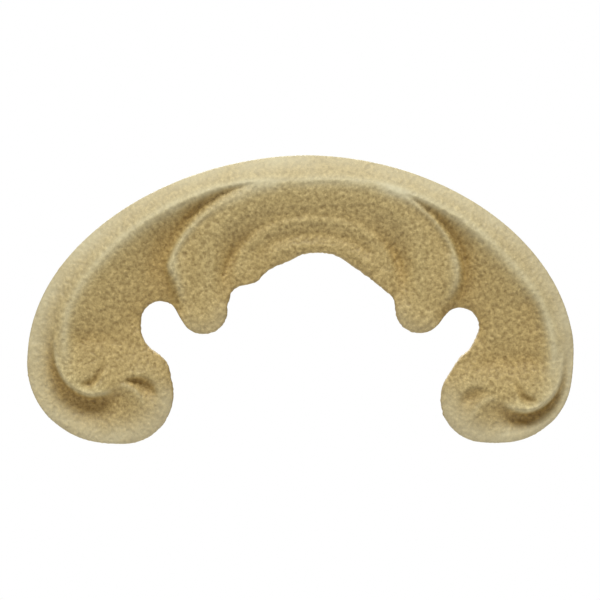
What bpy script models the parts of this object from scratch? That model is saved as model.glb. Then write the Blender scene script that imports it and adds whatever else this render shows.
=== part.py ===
# Wood pulp applique: a scrolled crest for a furniture front, pressed in one piece.
# Its back is flat. The front is one carved surface that stands at some height over
# every point of the back, so it is worked out as crests and valleys with a skin
# stretched between them.
# Frame: X to the right, Z up, the front looks along -Y, the flat back lies at Y = 0.
# All sizes below are in millimetres; MM turns them into metres.

import bmesh
import bpy
import numpy as np
from mathutils import Vector
from mathutils.geometry import delaunay_2d_cdt

MM = 0.001
OBJECT_NAME = "scroll_applique"

# Outer arch: a superellipse over the two volutes
ARCH_Z = -35.0
ARCH_POWER = 1.92
ARCH_HALF_WIDTH = 63.3
ARCH_RISE = 46.2
ARCH_LEAN = 0.5

# Rim, evenly spread from right to left: its width from the outer arch in to its crest,
# its crest's height over the back, and the height of its outer edge
RIM_WIDTHS = (5.4, 6.2, 5.5, 4.9, 6.2, 5.0, 5.5, 6.5, 7.3)
RIM_CREST = (7.4, 7.9, 8.3, 8.6, 8.7, 8.6, 8.3, 7.9, 7.4)
RIM_EDGE = (4.2, 4.6, 5.3, 4.6, 4.2)

# Leaf inside the rim. Each line of it lies inside its arch by an inset, or outside it
# by an outset. Insets, outsets and heights run from the springing up to the crown.
LEAF_X = 2.9
LEAF_Z = -22.0
LEAF_HALF_WIDTH = 34.4
LEAF_RISE = 27.5
LEAF_POWER = 2.2
LEAF_LEAN = 0.6
LEFT_FOOT_OUTSETS = (1.5, 1.6, 2.0, 1.8, 1.1)
RIGHT_FOOT_OUTSETS = (1.5, 1.5, 1.1, 0.8, 0.6)
LEFT_FOOT = (3.8, 4.6, 5.3, 6.7, 8.2)
RIGHT_FOOT = (3.9, 4.8, 5.5, 6.7, 8.1)
LEAF_BEAD_WIDTH = 0.9
LEFT_BEAD = (5.2, 5.9, 6.5, 7.5, 8.5)
RIGHT_BEAD = (5.3, 6.1, 6.8, 7.6, 8.4)
LEAF_CREST_INSET = 0.2
LEAF_CREST = (6.8, 7.2, 7.8, 8.4, 8.7)
LEAF_GROOVE_INSET = 1.2
LEAF_GROOVE = (6.1, 6.5, 7.0, 7.7, 8.3)
CROWN_STEP_INSET = 0.9
CROWN_STEP = (8.5, 8.45, 8.5)
LEAF_FACE_INSET = 4.4
LEAF_FACE = (7.1, 7.6, 7.8, 8.0, 7.8, 7.6, 7.1)
LOBE_TOP = 6.4
LOBE_INSET = 2.4

# Nested tiers in the middle of the leaf: half width and rise of each line's arch, and
# its heights from right to left
TIER_X = 2.9
TIER_Z = -20.0
TIER_POWER = 2.2
TIER_VALLEY = (20.8, 17.3)
TIER_VALLEY_HEIGHTS = (4.3, 3.7, 5.0, 6.1, 6.6, 6.85, 6.7, 6.1, 4.8, 4.0, 4.4)
TIER_RIDGE = (18.9, 15.9)
TIER_RIDGE_HEIGHTS = (5.2, 5.6, 6.2, 6.85, 7.1, 6.95, 6.3, 5.6, 5.2)
TIER_COVE = (16.3, 12.9)
TIER_COVE_HEIGHTS = (5.2, 5.5, 5.85, 5.9, 5.85, 5.5, 5.2)
TIER_BEAD = (14.2, 10.4)
TIER_BEAD_HEIGHTS = (6.0, 6.1, 6.4, 6.5, 6.0)

# Volutes: outline arcs as (x, z, radius) and the point that their scrolls wind round
LEFT_FLANK = (-44.6, -36.6, 18.9)
LEFT_DISC = (-41.3, -44.2, 11.5)
LEFT_SCROLL = (-44.3, -43.6)
RIGHT_FLANK = (46.6, -39.2, 16.2)
RIGHT_DISC = (42.5, -45.4, 9.9)
RIGHT_SCROLL = (47.4, -46.7)

# Ring round each volute: insets from its two outline arcs, and heights along them
LEFT_RING_INSETS = (2.2, 1.5)
RIGHT_RING_INSETS = (0.9, 1.5)
RING_ON_FLANK = (4.7, 4.3, 3.8)
RING_ON_DISC = (3.8, 4.1, 4.5, 4.7)

# How each scroll departs from their shared shape, as (outward, up, height)
LEFT_SHIFTS = {"rim": (0.0, 0.0, 0.0), "lip": (-0.4, 0.5, 0.0), "eye": (0.0, 0.2, -1.0),
               "crease": (-0.8, 0.0, 0.0)}
RIGHT_SHIFTS = {"rim": (0.6, 0.0, 0.0), "lip": (0.0, 0.0, 0.0), "eye": (0.0, 0.8, 0.0),
                "crease": (0.0, -0.9, -0.2)}

# Deepest line beside each scroll's lip, and the low place where its arm ends, as
# (outward, up, height) from the scroll
LEFT_HOLLOW = ((11.8, 0.9, 2.7), (9.8, -2.0, 2.4), (6.8, -3.6, 2.1), (3.8, -4.0, 2.1), (0.8, -3.7, 2.7))
RIGHT_HOLLOW = ((12.1, 2.2, 2.7), (9.9, -1.4, 2.2), (7.2, -3.4, 1.9), (4.0, -4.0, 1.9), (1.0, -3.8, 2.4))
LEFT_LOW = ((7.4, 12.5, 5.3), (4.4, 12.5, 4.5), (1.5, 12.5, 4.2), (-2.0, 12.0, 4.1), (-5.0, 11.0, 3.7))
RIGHT_LOW = ((7.4, 10.4, 4.5), (4.4, 10.4, 3.8), (1.5, 10.2, 3.6), (-2.0, 10.0, 3.5), (-5.5, 9.5, 3.4))
RIGHT_ARM_FLOOR = ((5.2, 24.0, 5.4), (7.1, 19.5, 5.2), (7.8, 14.5, 4.9))

# Notches and lobes on the inner side: (x, z, radius)
LEFT_NOTCH = (-32.7, -27.2, 4.7)
LEFT_LOBE = (-22.6, -24.6, 5.5)
RIGHT_LOBE = (27.5, -24.4, 5.5)
RIGHT_NOTCH = (37.1, -28.5, 4.5)
INNER_ARCH = (3.8, -25.0, 13.8)
NOTCH_BANK = 2.4
NOTCH_BANK_HEIGHTS = (4.0, 4.3, 4.2)

# Heights of the other edges over the back
FLANK_EDGE = 4.4
VOLUTE_EDGE = 3.4
NECK_EDGE = 3.8
ARM_EDGE = 2.9
LOBE_EDGE = 5.6
TIER_FOOT_EDGE = 4.7
TIER_EDGE = 5.4
CROWN_EDGE = 6.1
EDGE_ROLL = 0.5

# How finely the surface is worked out
GRID_STEP = 0.125
GRID_LOW = (-66.0, -58.0)
GRID_HIGH = (66.0, 14.0)
SKIN_LEVELS = (16, 8, 4, 2, 1)
SKIN_PASSES = 160
SOFT_RADIUS = 0.8
CRISP_RADIUS = 0.35
CRISP_REACH = 0.9
CRISP_SHARE = 0.6
LINE_STEP = 0.12
SPAN_STEPS = 16

# How finely it is meshed: spacing along the outline, rings inside it, spacing of the
# points elsewhere, and the gaps kept clear of the points already placed
OUTLINE_STEP = 1.3
EDGE_RINGS = (0.26, 0.9)
RING_SHARE = 0.94
POINT_STEP = 1.16
LINE_GAP = 0.6
FIELD_GAP = 0.93
SAME_POINT = 1e-6
BATCH = 500
SHARP_ANGLE = 85.0

PULP_COLOR = (0.46, 0.36, 0.21, 1.0)


# Curves

def arch(centre, half_width, rise, power, start, end, count, lean=0.0):
    """Points of a superellipse; 0 degrees is its right springing and 90 its crown.
    A lean lifts its right shoulder and lowers its left one by that much."""
    turn = np.radians(np.linspace(start, end, count))
    across = np.sign(np.cos(turn)) * np.abs(np.cos(turn)) ** (2.0 / power)
    up = np.sign(np.sin(turn)) * np.abs(np.sin(turn)) ** (2.0 / power)
    lift = lean * np.sin(2.0 * turn)
    return np.column_stack([centre[0] + half_width * across, centre[1] + rise * up + lift])


def arc(circle, start, end, count, inset=0.0):
    """Points of a circle (x, z, radius), or of one drawn inside it."""
    radius = circle[2] - inset
    return arch(circle[:2], radius, radius, 2.0, start, end, count)


def spread(values, count):
    """The values drawn out to a longer row, evenly."""
    return np.interp(np.linspace(0.0, 1.0, count), np.linspace(0.0, 1.0, len(values)), values)


def with_heights(points, heights):
    """Points (x, z) with heights spread evenly along them."""
    points = np.asarray(points, dtype=float)
    return np.column_stack([points, spread(heights, len(points))])


def smooth_line(points, spacing, closed=False):
    """Evenly spaced points (x, z, height) on a centripetal Catmull-Rom curve."""
    points = np.asarray(points, dtype=float)
    if closed:
        padded = np.vstack([points[-1:], points, points[:2]])
    else:
        padded = np.vstack([2 * points[0] - points[1], points, 2 * points[-1] - points[-2]])
    pieces = []
    for i in range(1, len(padded) - 2):
        p0, p1, p2, p3 = padded[i - 1:i + 3]
        t1 = max(np.linalg.norm((p1 - p0)[:2]), SAME_POINT) ** 0.5
        t2 = t1 + max(np.linalg.norm((p2 - p1)[:2]), SAME_POINT) ** 0.5
        t3 = t2 + max(np.linalg.norm((p3 - p2)[:2]), SAME_POINT) ** 0.5
        t = np.linspace(t1, t2, SPAN_STEPS, endpoint=False)[:, None]
        a1 = (t1 - t) / t1 * p0 + t / t1 * p1
        a2 = (t2 - t) / (t2 - t1) * p1 + (t - t1) / (t2 - t1) * p2
        a3 = (t3 - t) / (t3 - t2) * p2 + (t - t2) / (t3 - t2) * p3
        b1 = (t2 - t) / t2 * a1 + t / t2 * a2
        b2 = (t3 - t) / (t3 - t1) * a2 + (t - t1) / (t3 - t1) * a3
        pieces.append((t2 - t) / (t2 - t1) * b1 + (t - t1) / (t2 - t1) * b2)
    pieces.append(points[:1] if closed else points[-1:])
    curve = np.vstack(pieces)
    steps = np.linalg.norm(np.diff(curve[:, :2], axis=0), axis=1)
    along = np.concatenate([[0.0], np.cumsum(steps)])
    wanted = np.linspace(0.0, along[-1], max(2, int(round(along[-1] / spacing)) + 1))
    if closed:
        wanted = wanted[:-1]
    return np.column_stack([np.interp(wanted, along, column) for column in curve.T])


def outline_curve(spacing):
    """The silhouette, anticlockwise from the right springing, with its edge's height."""
    outer_arch = arch((0.0, ARCH_Z), ARCH_HALF_WIDTH, ARCH_RISE, ARCH_POWER, 4, 176, 33, ARCH_LEAN)
    strokes = [
        (RIM_EDGE, outer_arch),
        (FLANK_EDGE, arc(LEFT_FLANK, 186, 220, 3)),
        (VOLUTE_EDGE, arc(LEFT_FLANK, 230, 262, 4)),
        (VOLUTE_EDGE, arc(LEFT_DISC, 268, 376, 9)),
        (NECK_EDGE, [(-31.1, -37.2), (-32.7, -35.3), (-34.6, -34.0), (-36.3, -32.2), (-37.2, -30.2)]),
        (ARM_EDGE, arc(LEFT_NOTCH, 185, 55, 7)),
        (LOBE_EDGE, arc(LEFT_LOBE, 205, 370, 8)),
        (TIER_FOOT_EDGE, [(-16.8, -22.4), (-16.2, -20.4), (-14.6, -19.1)]),
        (TIER_EDGE, [(-12.3, -18.6), (-10.2, -17.9), (-8.7, -16.3), (-6.9, -14.9), (-2.4, -13.0)]),
        (CROWN_EDGE, arc(INNER_ARCH, 107, 70, 4)),
        (TIER_EDGE, [(12.3, -14.5), (15.8, -17.0), (19.6, -20.1)]),
        (TIER_FOOT_EDGE, [(21.4, -21.7)]),
        (LOBE_EDGE, arc(RIGHT_LOBE, 175, 320, 7)),
        (ARM_EDGE, arc(RIGHT_NOTCH, 135, -30, 8)),
        (NECK_EDGE, [(39.2, -33.8), (37.4, -35.4), (36.0, -37.2)]),
        (VOLUTE_EDGE, arc(RIGHT_DISC, 142, 262, 8)),
        (VOLUTE_EDGE, arc(RIGHT_FLANK, 272, 310, 4)),
        (FLANK_EDGE, arc(RIGHT_FLANK, 320, 355, 3)),
    ]
    corners = np.vstack([with_heights(points, np.atleast_1d(height)) for height, points in strokes])
    return smooth_line(corners, spacing, closed=True)


# Crests and valleys of the relief. Each is (points (x, z, height), crisp).

def shifted(points, shift):
    return [tuple(np.add(point, shift)) for point in points]


def on_scroll(scroll, points):
    """Points (outward, up, height) from a scroll's centre, placed on its own side."""
    side = np.sign(scroll[0])
    return [(scroll[0] + side * out, scroll[1] + up, height) for out, up, height in points]


def rim_lines():
    width = spread(RIM_WIDTHS, 31)
    half_width = ARCH_HALF_WIDTH - width
    crest = arch((0.0, ARCH_Z), half_width, ARCH_RISE - width, ARCH_POWER, 16, 164, 31, ARCH_LEAN)
    tail = [(10.2, 13.2, 7.0), (10.1, 9.6, 6.7), (9.3, 6.4, 6.4)]
    right_tail = on_scroll(RIGHT_SCROLL, shifted(tail[::-1], RIGHT_SHIFTS["rim"]))
    left_tail = on_scroll(LEFT_SCROLL, shifted(tail, LEFT_SHIFTS["rim"]))
    return [(right_tail + list(with_heights(crest, RIM_CREST)) + left_tail, True)]


def leaf_arch(inset, start, end, count):
    half_width = LEAF_HALF_WIDTH - inset
    rise = LEAF_RISE - inset
    return arch((LEAF_X, LEAF_Z), half_width, rise, LEAF_POWER, start, end, count, LEAF_LEAN)


def leaf_line(inset, start, end, heights):
    """A line of the leaf, a steady or a varying inset inside its arch."""
    count = 13
    return list(with_heights(leaf_arch(spread(np.atleast_1d(inset), count), start, end, count), heights))


def leaf_beads():
    """The rounded outer edge of the leaf, left and right, just inside its foot."""
    left = leaf_line(LEAF_BEAD_WIDTH - np.array(LEFT_FOOT_OUTSETS), 164, 111, LEFT_BEAD)
    right = leaf_line(LEAF_BEAD_WIDTH - np.array(RIGHT_FOOT_OUTSETS), 16, 54, RIGHT_BEAD)
    return [left, right]


def leaf_crests():
    """The leaf's raised border, left and right, from its lobes up to the rim. The left
    one moves in at last to meet the step at the crown."""
    meeting = LEAF_CREST_INSET + (CROWN_STEP_INSET - LEAF_CREST_INSET) * np.linspace(0.0, 1.0, 13) ** 3
    left_end = [(-27.2, -24.6, 5.2), (-28.0, -21.0, 5.7), (-28.9, -17.4, 6.2)]
    right_end = [(32.4, -25.2, 5.0), (34.6, -21.4, 5.5), (36.1, -18.2, 6.1)]
    left = left_end + leaf_line(meeting, 166, 102, LEAF_CREST)
    right = right_end + leaf_line(LEAF_CREST_INSET, 14, 66, LEAF_CREST)
    return [left, right]


def leaf_lines():
    left_end = [(-30.0, -21.6, 3.2), (-31.1, -18.0, 3.5)]
    right_end = [(37.0, -21.9, 3.2), (38.2, -18.2, 3.6)]
    left_foot = left_end + leaf_line(-np.array(LEFT_FOOT_OUTSETS), 164, 111, LEFT_FOOT)
    right_foot = right_end + leaf_line(-np.array(RIGHT_FOOT_OUTSETS), 16, 54, RIGHT_FOOT)
    left_groove = leaf_line(LEAF_GROOVE_INSET, 160, 118, LEAF_GROOVE)
    right_groove = leaf_line(LEAF_GROOVE_INSET, 20, 62, LEAF_GROOVE)
    crown_step = leaf_line(CROWN_STEP_INSET, 68, 112, CROWN_STEP)
    crisp_lines = leaf_crests() + leaf_beads()
    crisp_lines += [left_foot, right_foot, left_groove, right_groove, crown_step]
    face = leaf_line(LEAF_FACE_INSET, 32, 148, LEAF_FACE)
    trough = [(-31.5, -6.6, 4.9), (-34.2, -12.6, 3.9), (-34.4, -18.0, 3.3)]
    bank = with_heights(arc(RIGHT_NOTCH, 60, -25, 7, -NOTCH_BANK), NOTCH_BANK_HEIGHTS)
    left_spine = [(-20.8, -8.0, 6.9), (-20.8, -13.5, 6.7), (-21.0, -18.0, 6.5), (-21.8, -22.0, LOBE_TOP)]
    right_spine = [(27.2, -8.0, 6.9), (27.0, -13.5, 6.7), (27.2, -18.0, 6.5), (27.5, -22.0, LOBE_TOP)]
    left_lobe = with_heights(arc(LEFT_LOBE, 195, 375, 9, LOBE_INSET), [LOBE_TOP])
    right_lobe = with_heights(arc(RIGHT_LOBE, 165, 345, 9, LOBE_INSET), [LOBE_TOP])
    soft_lines = [face, trough, bank, left_spine, right_spine, left_lobe, right_lobe]
    return [(line, True) for line in crisp_lines] + [(line, False) for line in soft_lines]


def tier_arch(tier, start, end, heights):
    half_width, rise = tier
    return with_heights(arch((TIER_X, TIER_Z), half_width, rise, TIER_POWER, start, end, 25), heights)


def tier_lines():
    right_run = [(22.3, -21.0, TIER_FOOT_EDGE), (23.1, -19.2, TIER_FOOT_EDGE)]
    left_run = [(-17.2, -19.0, TIER_FOOT_EDGE), (-16.6, -20.7, TIER_FOOT_EDGE)]
    valley = right_run + list(tier_arch(TIER_VALLEY, 8, 172, TIER_VALLEY_HEIGHTS)) + left_run
    ridge = tier_arch(TIER_RIDGE, 14, 166, TIER_RIDGE_HEIGHTS)
    cove = tier_arch(TIER_COVE, 40, 142, TIER_COVE_HEIGHTS)
    bead = tier_arch(TIER_BEAD, 24, 130, TIER_BEAD_HEIGHTS)
    left_knob = [(-15.0, -14.2, 5.4), (-14.7, -16.0, 5.5), (-13.2, -16.9, 5.5), (-10.9, -16.2, 5.4)]
    right_knob = [(20.9, -14.4, 5.4), (20.6, -16.2, 5.5), (19.2, -16.9, 5.5), (16.8, -15.2, 5.4)]
    crisp_lines = [(line, True) for line in (valley, ridge, cove, bead)]
    return crisp_lines + [(left_knob, False), (right_knob, False)]


def ring_line(flank, flank_turn, disc, disc_turn, insets):
    """Crest of the ring round a volute, a little inside its two outline arcs."""
    outer = arc(flank, flank_turn[0], flank_turn[1], 7, spread(insets, 7))
    inner = arc(disc, disc_turn[0], disc_turn[1], 10, insets[1])
    return np.vstack([with_heights(outer, RING_ON_FLANK), with_heights(inner, RING_ON_DISC)])


def scroll_lip(scroll, shifts):
    """Crest of the band that winds into a volute, crossing it in an S."""
    winding = [(13.1, 11.8, 6.0), (13.0, 9.4, 6.1), (12.6, 6.6, 6.4), (11.7, 4.2, 6.8), (10.3, 2.2, 7.1),
               (8.7, 0.8, 7.1), (6.8, -0.4, 7.0), (4.8, -1.0, 6.9), (2.8, -0.9, 6.4)]
    crossing = [(0.8, -0.3, 5.6), (-1.2, 1.0, 4.9), (-3.2, 1.6, 5.4), (-5.2, 1.0, 5.3), (-6.9, -0.6, 5.1),
                (-8.0, -3.0, 4.7)]
    return on_scroll(scroll, shifted(winding, shifts["lip"]) + crossing)


def scroll_lines(scroll, shifts, hollow, low):
    """Winding of a volute: its lip and what lies beside it."""
    foot = [(14.0, 12.6, 5.2), (13.9, 10.0, 4.8), (13.6, 7.2, 4.2), (12.8, 4.2, 3.5), (11.4, 1.6, 3.0),
            (9.7, -0.2, 2.7), (7.3, -1.6, 2.5), (4.9, -2.2, 2.4), (2.5, -2.1, 2.7)]
    foot_end = [(0.1, -1.4, 3.4), (-2.4, -0.6, 4.3)]
    ring_root = [(-2.5, 5.0, 4.9), (-0.3, 3.2, 5.2)]
    eye = [(-4.2, 2.6, 4.9), (-5.8, 2.4, 4.2), (-7.6, 1.8, 3.7), (-9.2, 0.7, 3.7), (-10.0, -0.8, 4.2)]
    eye_roof = [(-3.6, 2.9, 5.2), (-5.2, 3.4, 5.4), (-7.0, 3.9, 5.5), (-8.8, 3.5, 5.4), (-10.3, 2.2, 5.2),
                (-11.2, 0.4, 4.9), (-11.4, -1.6, 4.6)]
    crease = [(2.0, 6.3, 4.9), (3.0, 4.7, 4.8), (3.8, 3.0, 4.6), (4.9, 1.9, 4.6), (6.6, 1.8, 5.1)]
    crease_inner = [(1.1, 5.8, 5.1), (2.1, 4.1, 5.5), (3.0, 2.4, 5.9), (4.4, 1.1, 6.3)]
    crease_outer = [(3.0, 6.6, 5.2), (4.0, 5.1, 5.6), (4.9, 3.7, 6.0), (6.7, 2.9, 6.3)]
    roof_shift = shifts["eye"][:2] + (0.0,)
    crisp_lines = [shifted(foot, shifts["lip"]) + foot_end, shifted(eye_roof, roof_shift)]
    crisp_lines += [shifted(line, shifts["crease"]) for line in (crease, crease_inner, crease_outer)]
    soft_lines = [hollow, low, ring_root, shifted(eye, shifts["eye"])]
    placed = [(on_scroll(scroll, points), True) for points in crisp_lines]
    placed += [(on_scroll(scroll, points), False) for points in soft_lines]
    return placed + [(scroll_lip(scroll, shifts), True)]


def relief_lines():
    """Every line of the relief as evenly spaced points, the outline first."""
    lines = rim_lines() + leaf_lines() + tier_lines()
    lines.append((ring_line(LEFT_FLANK, (172, 256), LEFT_DISC, (272, 402), LEFT_RING_INSETS), False))
    lines.append((ring_line(RIGHT_FLANK, (368, 286), RIGHT_DISC, (264, 134), RIGHT_RING_INSETS), False))
    lines.append((on_scroll(RIGHT_SCROLL, RIGHT_ARM_FLOOR), False))
    lines += scroll_lines(LEFT_SCROLL, LEFT_SHIFTS, LEFT_HOLLOW, LEFT_LOW)
    lines += scroll_lines(RIGHT_SCROLL, RIGHT_SHIFTS, RIGHT_HOLLOW, RIGHT_LOW)
    traced = [(outline_curve(LINE_STEP), True)]
    for points, crisp in lines:
        traced.append((smooth_line(points, LINE_STEP), crisp))
    return traced


# Surface between the lines

def grid_place(points, step):
    column = np.round((points[:, 0] - GRID_LOW[0]) / step).astype(int)
    row = np.round((points[:, 1] - GRID_LOW[1]) / step).astype(int)
    return row, column


def grid_shape(step):
    rows = int(round((GRID_HIGH[1] - GRID_LOW[1]) / step)) + 1
    columns = int(round((GRID_HIGH[0] - GRID_LOW[0]) / step)) + 1
    return rows, columns


def stretched_skin(lines):
    """Heights on a grid, held on the lines and stretched like a skin between them."""
    skin = None
    for step in GRID_STEP * np.array(SKIN_LEVELS):
        rows, columns = grid_shape(step)
        total = np.zeros((rows, columns))
        count = np.zeros((rows, columns))
        for points, _ in lines:
            place = grid_place(points, step)
            np.add.at(total, place, points[:, 2])
            np.add.at(count, place, 1.0)
        held = count > 0
        fixed = total / np.maximum(count, 1.0)
        if skin is None:
            skin = np.full((rows, columns), fixed[held].mean())
        else:
            skin = np.repeat(np.repeat(skin, 2, axis=0), 2, axis=1)[:rows, :columns]
        skin = np.where(held, fixed, skin)
        for _ in range(SKIN_PASSES):
            padded = np.pad(skin, 1, mode="edge")
            mean = (padded[2:, 1:-1] + padded[:-2, 1:-1] + padded[1:-1, 2:] + padded[1:-1, :-2]) / 4
            skin = np.where(held, fixed, mean)
    return skin


def blur(field, radius):
    """Gaussian blur by a radius in grid steps."""
    reach = int(3 * radius) + 1
    weights = np.exp(-0.5 * (np.arange(-reach, reach + 1) / radius) ** 2)
    weights /= weights.sum()
    padded = np.pad(field, reach, mode="edge")
    rows, columns = field.shape
    across = sum(w * padded[:, i:i + columns] for i, w in enumerate(weights))
    return sum(w * across[i:i + rows] for i, w in enumerate(weights))


def relief_field():
    """The relief's heights on the grid: crisp along the crisp lines, softer elsewhere."""
    lines = relief_lines()
    skin = stretched_skin(lines)
    mask = np.zeros(skin.shape)
    for points, crisp in lines:
        if crisp:
            mask[grid_place(points, GRID_STEP)] = 1.0
    on_line = CRISP_SHARE * GRID_STEP / (CRISP_REACH * np.sqrt(2 * np.pi))
    near = np.clip(blur(mask, CRISP_REACH / GRID_STEP) / on_line, 0.0, 1.0)
    crisp_skin = blur(skin, CRISP_RADIUS / GRID_STEP)
    soft_skin = blur(skin, SOFT_RADIUS / GRID_STEP)
    return near * crisp_skin + (1.0 - near) * soft_skin


def field_at(field, points):
    """The field read between its grid points."""
    column = (points[:, 0] - GRID_LOW[0]) / GRID_STEP
    row = (points[:, 1] - GRID_LOW[1]) / GRID_STEP
    c = np.clip(column.astype(int), 0, field.shape[1] - 2)
    r = np.clip(row.astype(int), 0, field.shape[0] - 2)
    u = column - c
    v = row - r
    low = field[r, c] * (1 - u) + field[r, c + 1] * u
    high = field[r + 1, c] * (1 - u) + field[r + 1, c + 1] * u
    return low * (1 - v) + high * v


# Mesh

def distance_to(points, others):
    """Distance from each point to the nearest of the others."""
    nearest = np.empty(len(points))
    for i in range(0, len(points), BATCH):
        gap = points[i:i + BATCH, None, :2] - others[None, :, :2]
        nearest[i:i + BATCH] = np.sqrt((gap ** 2).sum(axis=2).min(axis=1))
    return nearest


def inside(points, outline):
    """Whether each point lies inside the closed outline."""
    crossings = np.zeros(len(points), dtype=int)
    ends = np.roll(outline, -1, axis=0)
    for (x0, z0), (x1, z1) in zip(outline[:, :2], ends[:, :2]):
        spans = (points[:, 1] < z0) != (points[:, 1] < z1)
        if spans.any():
            at_x = x0 + (points[:, 1] - z0) * (x1 - x0) / (z1 - z0)
            crossings += spans & (points[:, 0] < at_x)
    return crossings % 2 == 1


def inner_ring(outline, inset):
    """The outline's points moved inwards, without those that would crowd in a bend."""
    tangent = np.roll(outline, -1, axis=0)[:, :2] - np.roll(outline, 1, axis=0)[:, :2]
    tangent /= np.linalg.norm(tangent, axis=1)[:, None]
    ring = outline[:, :2] + inset * np.column_stack([-tangent[:, 1], tangent[:, 0]])
    return ring[distance_to(ring, smooth_line(outline, LINE_STEP, closed=True)) > RING_SHARE * inset]


def spread_points(outline, lines):
    """Points for the front's mesh, and the edges that keep to its crests and valleys:
    rings by the outline, the lines, and an even field between them."""
    kept = [outline[:, :2]] + [inner_ring(outline, inset) for inset in EDGE_RINGS]
    edges = []
    fine_outline = outline_curve(LINE_STEP)
    stride = int(round(POINT_STEP / LINE_STEP))
    for points, _ in lines[1:]:
        candidates = points[::stride, :2]
        free = inside(candidates, fine_outline)
        free &= distance_to(candidates, fine_outline) > EDGE_RINGS[-1] + LINE_GAP
        free &= distance_to(candidates, np.vstack(kept)) > LINE_GAP
        number = sum(len(part) for part in kept)
        for i in np.flatnonzero(free):
            if i + 1 < len(free) and free[i + 1]:
                edges.append((number, number + 1))
            number += 1
        kept.append(candidates[free])
    row_step = POINT_STEP * np.sqrt(0.75)
    rows = np.arange(GRID_LOW[1], GRID_HIGH[1], row_step)
    columns = np.arange(GRID_LOW[0], GRID_HIGH[0], POINT_STEP)
    field = np.array([(x + POINT_STEP / 2 * (j % 2), z) for j, z in enumerate(rows) for x in columns])
    field = field[inside(field, fine_outline)]
    field = field[distance_to(field, np.vstack(kept)) > FIELD_GAP]
    return np.vstack(kept + [field]), edges


def front_height(points, field):
    """Height over the back, with the edge rolled over along the outline."""
    height = field_at(field, points)
    near = np.clip(EDGE_ROLL - distance_to(points, outline_curve(LINE_STEP)), 0.0, EDGE_ROLL)
    return height - (EDGE_ROLL - np.sqrt(EDGE_ROLL ** 2 - near ** 2))


def pulp_material():
    material = bpy.data.materials.new("wood_pulp")
    material.use_nodes = True
    shader = material.node_tree.nodes["Principled BSDF"]
    shader.inputs["Base Color"].default_value = PULP_COLOR
    shader.inputs["Roughness"].default_value = 0.95
    shader.inputs["Metallic"].default_value = 0.0
    return material


def build_applique(collection):
    field = relief_field()
    outline = outline_curve(OUTLINE_STEP)
    points, edges = spread_points(outline, relief_lines())
    border = [list(range(len(outline)))]
    found = delaunay_2d_cdt([Vector(point) for point in points], edges, border, 1, SAME_POINT)
    corners, _, triangles = found[:3]
    flat = np.array([tuple(corner) for corner in corners])
    heights = front_height(flat, field)

    mesh_data = bmesh.new()
    verts = [mesh_data.verts.new((x * MM, 0.0, z * MM)) for x, z in flat]
    for triangle in triangles:
        mesh_data.faces.new([verts[i] for i in triangle])
    back_faces = list(mesh_data.faces)
    raised = bmesh.ops.extrude_face_region(mesh_data, geom=back_faces, use_keep_orig=True)
    front_verts = [item for item in raised["geom"] if isinstance(item, bmesh.types.BMVert)]
    place = {(round(v.co.x, 8), round(v.co.z, 8)): h for v, h in zip(verts, heights)}
    for vert in front_verts:
        vert.co.y = -MM * place[(round(vert.co.x, 8), round(vert.co.z, 8))]
    bmesh.ops.dissolve_faces(mesh_data, faces=back_faces, use_verts=True)
    bmesh.ops.recalc_face_normals(mesh_data, faces=mesh_data.faces)

    mesh = bpy.data.meshes.new(OBJECT_NAME)
    mesh_data.to_mesh(mesh)
    mesh_data.free()
    mesh.shade_smooth()
    mesh.set_sharp_from_angle(angle=np.radians(SHARP_ANGLE))
    applique = bpy.data.objects.new(OBJECT_NAME, mesh)
    applique.data.materials.append(pulp_material())
    collection.objects.link(applique)
    return applique


def main():
    for item in list(bpy.data.objects):
        bpy.data.objects.remove(item, do_unlink=True)
    collection = bpy.data.collections.new("wood pulp applique")
    bpy.context.scene.collection.children.link(collection)
    build_applique(collection)


main()
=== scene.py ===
# Wood pulp applique: looks of the finished piece, built around the imported part.
# The relief repeats the part's own named sizes, so the fine surface made here lies
# where the solid does, and adds what the solid leaves out: the granular skin of the
# pressed pulp and its finish, whose colour also holds painted shade and highlight.
# Frame: X to the right, Z up, the front looks along -Y, the flat back lies at Y = 0.
# All sizes below are in millimetres; MM turns them into metres.

import bpy
import numpy as np
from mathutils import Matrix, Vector
from mathutils.geometry import delaunay_2d_cdt

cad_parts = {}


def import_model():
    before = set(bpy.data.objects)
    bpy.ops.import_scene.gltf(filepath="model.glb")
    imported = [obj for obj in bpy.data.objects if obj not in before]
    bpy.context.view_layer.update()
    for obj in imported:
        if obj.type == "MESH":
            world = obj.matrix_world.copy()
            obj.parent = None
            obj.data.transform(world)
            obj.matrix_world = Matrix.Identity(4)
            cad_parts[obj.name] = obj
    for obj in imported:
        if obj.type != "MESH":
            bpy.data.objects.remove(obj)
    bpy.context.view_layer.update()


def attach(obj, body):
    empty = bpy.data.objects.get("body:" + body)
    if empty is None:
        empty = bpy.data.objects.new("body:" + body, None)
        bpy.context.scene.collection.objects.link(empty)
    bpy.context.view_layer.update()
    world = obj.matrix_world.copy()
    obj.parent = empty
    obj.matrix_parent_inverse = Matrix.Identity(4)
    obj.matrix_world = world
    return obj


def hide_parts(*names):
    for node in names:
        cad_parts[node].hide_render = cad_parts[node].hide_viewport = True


MM = 0.001
PIECE_NAME = "pressed_pulp_applique"

# Outer arch: a superellipse over the two volutes
ARCH_Z = -35.0
ARCH_POWER = 1.92
ARCH_HALF_WIDTH = 63.3
ARCH_RISE = 46.2
ARCH_LEAN = 0.5

# Rim, evenly spread from right to left: its width from the outer arch in to its crest,
# its crest's height over the back, and the height of its outer edge
RIM_WIDTHS = (5.4, 6.2, 5.5, 4.9, 6.2, 5.0, 5.5, 6.5, 7.3)
RIM_CREST = (7.4, 7.9, 8.3, 8.6, 8.7, 8.6, 8.3, 7.9, 7.4)
RIM_EDGE = (4.2, 4.6, 5.3, 4.6, 4.2)

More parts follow.
